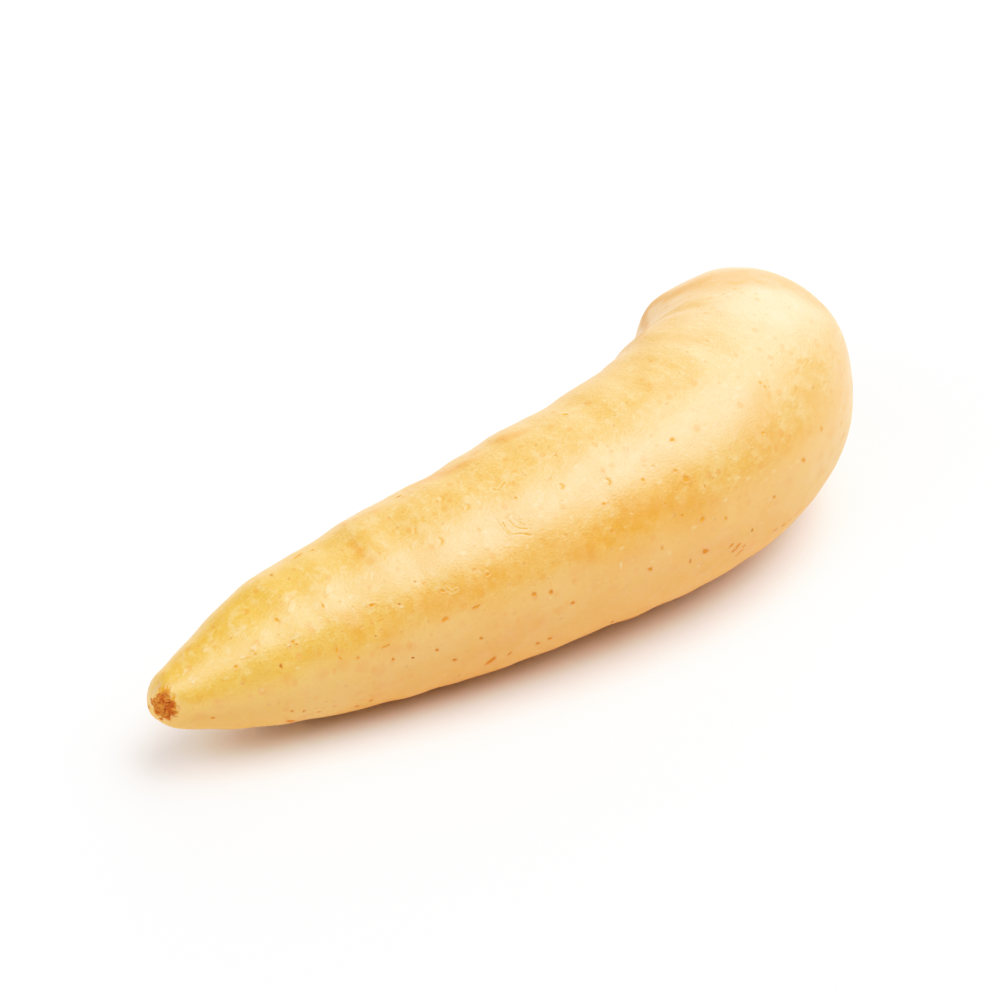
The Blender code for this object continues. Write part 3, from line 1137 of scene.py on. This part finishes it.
def skin_material(name, gloss, colours):
    """Golden skin with cream mottle, orange lenticels, pale flakes and both scars, with painted sheen
    on top and painted shade underneath.
    """
    material, shader, nodes = new_material(name)
    ramp, times, total = nodes.ramp, nodes.times, nodes.total
    place = nodes.place("straight_place")
    yellow, peach, under, rim = nodes.masks("zones")
    orange, rust, pale, soft = nodes.masks("marks")
    cork, dark, streak, pink = nodes.masks("scars")
    patches = nodes.group("Mottle", Place=place)
    fine, grain = patches["Fine"], patches["Grain"]
    round_way = nodes.group("Fibre grain", Place=nodes.stretch(place, 1.25, 0.22), Depth=0.025)
    torn = nodes.group("Fibre grain", Place=nodes.stretch(place, 0.9, 2.0), Depth=0.5)

    def flecks(along, across, rarity, size, softness):
        return nodes.flecks(nodes.stretch(place, along, across), rarity, size, softness)

    # What the masks do differs with height round the root: painted sheen on the top, painted shade
    # below it and underneath
    # Cream in broad patches, and over the top of the root as a painted sheen
    cream_and_top_sheen = total(times(patches["Broad"], 0.55), ramp(under, 0.02, 0.28, 0.8, 0.0))
    less_near_tip = ramp(yellow, 0.0, 1.0, 1.0, 0.5)
    # Gold patches of the skin, stronger lower down as painted shade under the highlight
    gold_mottle_and_shade = times(ramp(under, 0.05, 0.35, 0.14, 0.36), less_near_tip)
    # Strength of the painted shade on the underside
    underside_shade_strength = times(ramp(peach, 0.0, 1.0, 0.85, 0.1), less_near_tip)
    soft_flecks = times(flecks(0.45, 0.4, 0.3, 0.34, 0.26), ramp(grain, 0.2, 0.5, 0.1, 0.65))
    blotches = times(flecks(0.24, 0.28, 0.3, 0.42, 0.5), ramp(under, 0.25, 0.7, 0.1, 0.42))
    # Pale flecks, more of them on top as painted glints
    pale_flecks_and_sheen = times(flecks(0.5, 0.75, 0.6, 0.3, 0.4), ramp(under, 0.3, 0.8, 0.4, 0.12))
    specks = flecks(0.48, 0.54, 0.45, 0.22, 0.14)
    ragged = ramp(grain, 0.3, 0.6, 0.65, 1.0)
    bark = nodes.mix(ramp(torn["Strands"], 0.0, 0.7), colours.cork_dark, colours.cork)

    # Washes of colour from the ground up: how strong each is, and its colour
    # The ground colour: gold, turning cream in patches and over the top, where the cream is a painted
    # sheen
    tone = nodes.mix(ramp(cream_and_top_sheen, 0.0, 1.1), colours.gold, colours.cream)
    for share, wash in (
        (times(yellow, 0.82), colours.yellow),
        (times(peach, 0.8), colours.peach),
        # Pale patches, stronger on top: the skin's own mottle and painted sheen
        (ramp(fine, 0.5, 1.0, 0.0, ramp(under, 0.05, 0.35, 0.34, 0.08)), colours.pale),
        # Gold patches, washed stronger on the sides below the top as painted shade
        (ramp(fine, 0.5, 0.0, 0.0, gold_mottle_and_shade), colours.gold),
        # Painted shade: the underside washed in a deeper, darker colour
        (ramp(under, 0.16, 0.96, 0.0, underside_shade_strength), colours.tan),
        # Painted light from the floor: the underside of the crown end made paler
        (times(peach, ramp(under, 0.2, 0.75, 0.0, 0.85)), colours.pale),
        # Pale grain, stronger on top: the skin's own grain and painted sheen
        (ramp(grain, 0.52, 0.8, 0.0, ramp(under, 0.05, 0.35, 0.45, 0.16)), colours.pale),
        (ramp(grain, 0.48, 0.22, 0.0, 0.6), colours.stain),
        (rim, colours.rim),
        (soft_flecks, colours.stain),
        (blotches, colours.blotch),
        # Pale flecks, stronger on top as painted glints
        (pale_flecks_and_sheen, colours.pale),
        (times(specks, 0.65), colours.orange),
        (times(soft, 0.85), colours.stain),
        (times(orange, ragged), nodes.mix(ramp(under, 0.35, 0.8), colours.orange, colours.ember)),
        (times(pale, ragged), colours.pale),
        (rust, colours.rust),
        (times(streak, 0.85), colours.streak),
        (times(pink, 0.6), colours.pink),
        (cork, bark),
        (ramp(dark, 0.0, 0.5, 0.0, 0.9), colours.cork_dark),
        (ramp(dark, 0.55, 0.95), colours.crack),
    ):
        tone = nodes.mix(share, tone, wash)
    nodes.feed(shader["Base Color"], tone)

    rough = total(
        ramp(fine, 0.0, 1.0, 0.35, 0.51),
        ramp(grain, 0.3, 0.7, -0.06, 0.06),
        times(orange, 0.25),
        times(pale, 0.2),
        times(nodes.math("MAXIMUM", cork, dark), 0.45),
        ramp(under, 0.35, 0.9, 0.0, 0.2),
        times(rim, 0.2),
    )
    nodes.feed(shader["Roughness"], rough)
    height = total(
        times(nodes.math("SUBTRACT", grain, 0.5), 0.08),
        round_way["Height"],
        times(fine, 0.03),
        times(specks, -0.05),
        times(torn["Height"], cork),
    )
    nodes.feed(shader["Normal"], nodes.bump(height))
    shader["IOR"].default_value = SKIN_IOR
    shader["Specular IOR Level"].default_value = gloss
    return material


def fibre_material(name, light, dark):
    """Dry brown fibre, for torn strands and cork."""
    material, shader, nodes = new_material(name)
    place = nodes.place("strand_place")
    grain = nodes.group("Fibre grain", Place=nodes.stretch(place, 1.2, 5.0), Depth=0.15)
    tone = nodes.mix(grain["Strands"], dark, light)
    shade = nodes.times(nodes.group("Mottle", Place=place)["Grain"], 0.5)
    nodes.feed(shader["Base Color"], nodes.mix(shade, tone, dark))
    nodes.feed(shader["Roughness"], nodes.ramp(grain["Strands"], 0.0, 1.0, 0.85, 0.65))
    nodes.feed(shader["Normal"], nodes.bump(grain["Height"]))
    shader["Specular IOR Level"].default_value = FIBRE_GLOSS
    return material


# Torn fibres and cork


def strand_rings(root, lean, bend, length, radius, twist):
    """Rings of points along one tapering strand, and their places along and across it."""
    side = unit(np.cross(lean, bend))
    other = unit(np.cross(side, lean))
    rings, places = [], []
    for i in range(STRAND_STEPS + 1):
        t = i / STRAND_STEPS
        middle = root + lean * length * t + bend * length * STRAND_DROOP * t * t
        thick = radius * (1 - STRAND_TAPER * t**1.5)
        for j in range(STRAND_SIDES):
            turn = j * FULL_TURN / STRAND_SIDES + twist * t
            across = side * math.cos(turn) + STRAND_FLATNESS * other * math.sin(turn)
            rings.append(middle + across * thick)
            places.append((length * t, radius * math.cos(turn), radius * math.sin(turn)))
    return rings, places


def strand_faces(first):
    """Faces of one strand, closed at both ends."""
    n = STRAND_SIDES
    last = first + STRAND_STEPS * n
    faces = []
    for near in range(first, last, n):
        far = near + n
        faces += [(near + j, near + (j + 1) % n, far + (j + 1) % n, far + j) for j in range(n)]
    faces.append(tuple(reversed(range(first, first + n))))
    faces.append(tuple(range(last, last + n)))
    return faces


def strands_mesh(name, strands):
    """A mesh of all the strands."""
    points, places, faces = [], [], []
    for number, strand in enumerate(strands):
        rings, along = strand_rings(*strand)
        faces += strand_faces(len(points))
        points += rings
        places += [(a + STRAND_SPACING * number, b, c) for a, b, c in along]
    mesh = bpy.data.meshes.new(name)
    inside = np.clip(np.array(points) * MM, *SOLID_BOX)
    mesh.from_pydata(inside.tolist(), [], faces)
    keep_on_mesh(mesh, "strand_place", "FLOAT_VECTOR", "vector", np.array(places, float))
    mesh.shade_smooth()
    return mesh


def skin_tree():
    """The grown skin as a search tree, in millimetres."""
    skin = bpy.data.objects.get("root_skin")
    if skin is None:
        raise RuntimeError("Grow the skin first.")
    faces = [tuple(face.vertices) for face in skin.data.polygons]
    return BVHTree.FromPolygons((read_vectors(skin.data.vertices, "co") / MM).tolist(), faces)


def scattered(rng, middle, out, radius, count):
    """Places by chance over a disc, the middle as likely as the edge, and the way to each."""
    first = unit(np.cross(out, ASLANT))
    second = np.cross(out, first)
    reach = radius * np.sqrt(rng.random(count))
    for r, t in zip(reach, rng.random(count) * FULL_TURN):
        sideways = math.cos(t) * first + math.sin(t) * second
        yield middle + r * sideways, sideways


def lie_in_tip(rng, out, sideways, _):
    """The way of a torn strand that lies in the tip scar and points out of it."""
    way = unit(0.35 * out + sideways * rng.uniform(-0.4, 1.0) + rng.normal(size=3) * 0.5)
    return unit(way - 0.7 * (way @ out) * out)


def lie_in_crown(rng, out, sideways, face_out):
    """The way of a fibre end that lies in rings over the crown scar."""
    round_way = np.cross(face_out, sideways)
    return unit(sideways * rng.uniform(-0.6, 0.6) + round_way * rng.uniform(-1, 1) + 0.25 * out)


class Bundle(NamedTuple):
    """The strands of a scar: how they lie, the seed of their chance, and how they vary.

    The reach of the scar that they cover, their thinnest and thickest radius and how deep they are
    sunk are in millimetres. The longest is a share of the strand length in the settings.
    """

    lie: Callable
    seed: int
    reach: float
    longest: float
    curl: float
    thinnest: float
    thickest: float
    sunk: float


TIP_BUNDLE = Bundle(lie_in_tip, 51, 2.3, 1.0, 0.4, 0.05, 0.11, 0.05)
CROWN_BUNDLE = Bundle(lie_in_crown, 61, CROWN_SCAR_RADIUS - 1.2, 1.2, 0.3, 0.08, 0.2, 0.08)


def scar_strands(bundle, middle, face_out, count, length):
    """Strands over a scar: root, lean, bend, length, radius and twist of each."""
    rng = np.random.default_rng(bundle.seed)
    tree = skin_tree()
    strands = []
    for place, sideways in scattered(rng, middle, face_out, bundle.reach, count):
        hit, out, _, _ = tree.find_nearest(Vector(place))
        out = np.array(out)
        long = length / MM * rng.uniform(0.5, bundle.longest)
        lean = bundle.lie(rng, out, sideways, face_out)
        bend = unit(-out + rng.normal(size=3) * bundle.curl)
        radius = rng.uniform(bundle.thinnest, bundle.thickest)
        root = np.array(hit) - bundle.sunk * out
        strands.append((root, lean, bend, long, radius, rng.uniform(-2, 2)))
    return strands


# Studio


class Softbox(NamedTuple):
    """A wide soft light in the room, in degrees: turn clockwise from straight behind, and rise.

    Its light is even to the first reach and has faded at the second.
    """

    turn: float
    rise: float
    even_reach: float
    faded_reach: float
    strength: float


SOFTBOXES = (
    Softbox(78, 58, 14, 38, 3.3),
    Softbox(18, 18, 8, 38, 3.1),
    Softbox(238, 43, 8, 28, 3.6),
    Softbox(165, 74, 8, 32, 2.0),
)


def add_to_scene(name, data):
    thing = bpy.data.objects.new(name, data)
    bpy.context.scene.collection.objects.link(thing)
    return thing


def add_floor(settings):
    """A plain floor just under the root."""
    corners = [(x * FLOOR_HALF, y * FLOOR_HALF, 0) for x, y in ((-1, -1), (1, -1), (1, 1), (-1, 1))]
    mesh = bpy.data.meshes.new("floor")
    mesh.from_pydata(corners, [], [(0, 1, 2, 3)])
    material, shader, nodes = new_material("floor white")
    nodes.feed(shader["Base Color"], settings.floor_colour)
    shader["Roughness"].default_value = FLOOR_ROUGHNESS
    shader["Specular IOR Level"].default_value = 0.0
    mesh.materials.append(material)
    floor = add_to_scene("floor", mesh)
    floor.location.z = -FLOOR_GAP * MM
    floor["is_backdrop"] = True


def add_softboxes(settings):
    """The white room, whose softboxes light the root and aren't seen themselves."""
    world = bpy.data.worlds.new("white room")
    bpy.context.scene.world = world
    world.use_nodes = True
    world.node_tree.nodes.clear()
    nodes = Nodes(world.node_tree)
    place = nodes.new("TexCoord").outputs["Generated"]
    light = settings.room_light
    for box in SOFTBOXES:
        towards = direction(CAMERA_TURN + 90 - box.turn, box.rise)
        near = nodes.new("VectorMath", (place, towards), operation="DOT_PRODUCT").outputs["Value"]
        faded, even = (math.cos(math.radians(at)) for at in (box.faded_reach, box.even_reach))
        strength = box.strength * settings.softbox_strength
        light = nodes.total(nodes.ramp(near, faded, even, 0.0, strength), light)
    room = nodes.new("Background", (WHITE, light)).outputs[0]
    seen = nodes.new("Background", (WHITE, ROOM_SEEN)).outputs[0]
    by_camera = nodes.new("LightPath").outputs["Is Camera Ray"]
    choose = nodes.new("MixShader", (by_camera, room, seen))
    nodes.new("OutputWorld", {"Surface": choose.outputs[0]})


def set_tones(view):
    """Gives the picture the photograph's soft shoulder."""
    view.view_transform = "Standard"
    view.use_curve_mapping = True
    brightest = TONES[-1][0]
    view.curve_mapping.white_level = (brightest, brightest, brightest)
    points = view.curve_mapping.curves[3].points
    for light, shown in TONES[1:-1]:
        points.new(light / brightest, shown)
    view.curve_mapping.update()


def add_camera():
    """The camera of the photograph."""
    place, _, _, forward = camera_axes()
    data = bpy.data.cameras.new("camera")
    data.sensor_width = SENSOR
    data.lens = CAMERA_LENS
    data.clip_start, data.clip_end = CAMERA_SEES
    camera = add_to_scene("camera", data)
    camera.rotation_mode = "QUATERNION"
    camera.location = Vector(place) * MM
    camera.rotation_quaternion = Vector(forward).to_track_quat("-Z", "Y")
    bpy.context.scene.camera = camera


# Settings


def length_setting(name, description, default, precision=5):
    """A length, whose default is in millimetres."""
    return FloatProperty(
        name=name,
        description=description,
        default=default * MM,
        min=0.0,
        unit="LENGTH",
        precision=precision,
    )


def colour_setting(name, description, default):
    return FloatVectorProperty(
        name=name,
        description=description,
        default=default,
        subtype="COLOR",
        size=3,
        min=0.0,
        max=1.0,
    )


def strength_setting(name, description, default, **limits):
    return FloatProperty(name=name, description=description, default=default, min=0.0, **limits)


def count_setting(name, description, default):
    return IntProperty(name=name, description=description, default=default, min=1)


class SkinSettings(bpy.types.PropertyGroup):
    """The relief of the skin."""

    undulation: length_setting(
        "Undulation", "Height of the low swellings all over the skin", 0.09
    )
    wrinkle: length_setting(
        "Wrinkles", "Height of the fine wrinkles that run round the root", 0.018
    )
    mark_depth: length_setting(
        "Depth of marks", "Depth of lenticels, specks, crescents and scratches", 0.13
    )


class ColourSettings(bpy.types.PropertyGroup):
    """The colours of the skin and of its scars."""

    # Gold is also washed in deeper below the top as painted shade, and cream over the top as painted
    # sheen
    gold: colour_setting("Gold", "Ground colour of the skin", (0.91, 0.365, 0.006))
    cream: colour_setting("Cream", "Pale patches of the skin", (0.92, 0.475, 0.10))
    yellow: colour_setting("Yellow", "Skin towards the tip", (0.89, 0.465, 0.035))
    peach: colour_setting("Peach", "Skin towards the crown", (0.94, 0.525, 0.20))
    # Tan is painted shade: the deeper colour of the underside
    tan: colour_setting("Tan", "Skin of the underside", (0.88, 0.36, 0.006))
    rim: colour_setting("Rim", "Skin along the rim of the crown", (0.85, 0.385, 0.09))
    stain: colour_setting("Stain", "Soft stains", (0.89, 0.33, 0.012))
    blotch: colour_setting("Blotch", "Soft blotches low on the sides", (0.88, 0.285, 0.003))
    orange: colour_setting("Orange", "Lenticels", (0.83, 0.33, 0.035))
    ember: colour_setting("Ember", "Lenticels low on the sides", (0.74, 0.20, 0.015))
    rust: colour_setting("Rust", "Dark specks", (0.48, 0.14, 0.02))
    # Pale is also painted sheen on top, painted floor light under the crown end and painted highlight
    # patches
    pale: colour_setting("Pale", "Lifted flakes", (0.95, 0.66, 0.30))
    cork: colour_setting("Cork", "Light strands of the scars", (0.76, 0.29, 0.04))
    crown_cork: colour_setting("Crown cork", "Light strands of the crown scar", (0.60, 0.38, 0.18))
    cork_dark: colour_setting("Dark cork", "Dark strands of the scars", (0.60, 0.13, 0.012))
    crack: colour_setting("Crack", "Hollows and cracks of the scars", (0.27, 0.03, 0.003))
    streak: colour_setting("Streak", "Streaks that run out of the scars", (0.85, 0.28, 0.006))
    pink: colour_setting("Pink", "Greyish skin at the edge of the tip scar", (0.78, 0.46, 0.28))
    gloss: strength_setting("Gloss", "Strength of the waxy shine", 0.9, max=1.0, subtype="FACTOR")


class ScarSettings(bpy.types.PropertyGroup):
    """The loose fibres in both scars."""

    tip_strands: count_setting("Strands at the tip", "Number of torn strands in the tip scar", 32)
    crown_strands: count_setting(
        "Strands at the crown", "Number of fibre ends in the crown scar", 220
    )
    strand_length: length_setting("Strand length", "Length of the longest strands", 1.3, 4)


class StageSettings(bpy.types.PropertyGroup):
    """The floor and the light."""

    floor_colour: colour_setting("Floor colour", "Colour of the plain floor", (0.95, 0.95, 0.95))
    softbox_strength: strength_setting(
        "Softbox strength", "Share of the softboxes' own strength", 1.0
    )
    room_light: strength_setting(
        "Room light", "Strength of the light from the rest of the room", 0.08
    )


# Pieces


def put_on_root(name, mesh, *materials):
    """Adds a mesh to the scene as a piece that moves with the root."""
    for material in materials:
        mesh.materials.append(material)
    piece = add_to_scene(name, mesh)
    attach(piece, "root")
    return piece


class ARRACACHA_OT_grow_skin(bpy.types.Operator):
    """Grows the skin of the root, with its marks and scars"""

    bl_idname = "arracacha.grow_skin"
    bl_label = "Grow Skin"

    def execute(self, context):
        colours = context.scene.arracacha_colours
        waxy = skin_material("waxy skin", colours.gloss, colours)
        corky = skin_material("corky skin", CORKY_GLOSS * colours.gloss, colours)
        mesh = grow_skin(context.scene.arracacha_skin)
        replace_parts(put_on_root("root_skin", mesh, waxy, corky), "root")
        return {"FINISHED"}


class ARRACACHA_OT_tear_tip_fibres(bpy.types.Operator):
    """Lays torn strands in the tip scar"""

    bl_idname = "arracacha.tear_tip_fibres"
    bl_label = "Tear Tip Fibres"

    def execute(self, context):
        colours = context.scene.arracacha_colours
        scars = context.scene.arracacha_scars
        middle, inward = tip_scar_place()
        count, length = scars.tip_strands, scars.strand_length
        strands = scar_strands(TIP_BUNDLE, middle, -inward, count, length)
        material = fibre_material("torn fibre", colours.cork, colours.cork_dark)
        put_on_root("tip_fibres", strands_mesh("tip_fibres", strands), material)
        return {"FINISHED"}


class ARRACACHA_OT_lay_crown_cork(bpy.types.Operator):
    """Lays corky fibre ends in the crown scar"""

    bl_idname = "arracacha.lay_crown_cork"
    bl_label = "Lay Crown Cork"

    def execute(self, context):
        colours = context.scene.arracacha_colours
        scars = context.scene.arracacha_scars
        count, length = scars.crown_strands, scars.strand_length
        strands = scar_strands(CROWN_BUNDLE, *crown_face(), count, length)
        material = fibre_material("crown cork", colours.crown_cork, colours.cork_dark)
        put_on_root("crown_fibres", strands_mesh("crown_fibres", strands), material)
        return {"FINISHED"}


class ARRACACHA_OT_set_stage(bpy.types.Operator):
    """Sets the floor, the light and the camera"""

    bl_idname = "arracacha.set_stage"
    bl_label = "Set Stage"

    def execute(self, context):
        settings = context.scene.arracacha_stage
        add_floor(settings)
        add_softboxes(settings)
        add_camera()
        set_tones(context.scene.view_settings)
        return {"FINISHED"}


# Each group of settings with the steps that use it
SECTIONS = (
    ("Skin", "arracacha_skin", SkinSettings, (ARRACACHA_OT_grow_skin,)),
    ("Colours", "arracacha_colours", ColourSettings, ()),
    (
        "Scars",
        "arracacha_scars",
        ScarSettings,
        (ARRACACHA_OT_tear_tip_fibres, ARRACACHA_OT_lay_crown_cork),
    ),
    ("Stage", "arracacha_stage", StageSettings, (ARRACACHA_OT_set_stage,)),
)


class ARRACACHA_PT_root(bpy.types.Panel):
    """Settings and steps of the arracacha root"""

    bl_label = "Arracacha Root"
    bl_idname = "ARRACACHA_PT_root"
    bl_space_type = "VIEW_3D"
    bl_region_type = "UI"
    bl_category = "Arracacha"

    def draw(self, context):
        for label, where, kind, operators in SECTIONS:
            box = self.layout.box()
            box.label(text=label)
            for name in kind.__annotations__:
                box.prop(getattr(context.scene, where), name)
            for operator in operators:
                box.operator(operator.bl_idname)


def register():
    for _, where, kind, operators in SECTIONS:
        for added in (kind, *operators):
            bpy.utils.register_class(added)
        setattr(bpy.types.Scene, where, PointerProperty(type=kind))
    bpy.utils.register_class(ARRACACHA_PT_root)


def unregister():
    bpy.utils.unregister_class(ARRACACHA_PT_root)
    for _, where, kind, operators in reversed(SECTIONS):
        delattr(bpy.types.Scene, where)
        for added in (*operators, kind):
            bpy.utils.unregister_class(added)


def main():
    register()
    bpy.ops.arracacha.grow_skin()
    bpy.ops.arracacha.tear_tip_fibres()
    bpy.ops.arracacha.lay_crown_cork()
    bpy.ops.arracacha.set_stage()
    boxes = {"solid": SOLID_BOX, "visual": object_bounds()}
    {name: [list(corner) for corner in box] for name, box in boxes.items()}


if __name__ == "__main__":
    main()
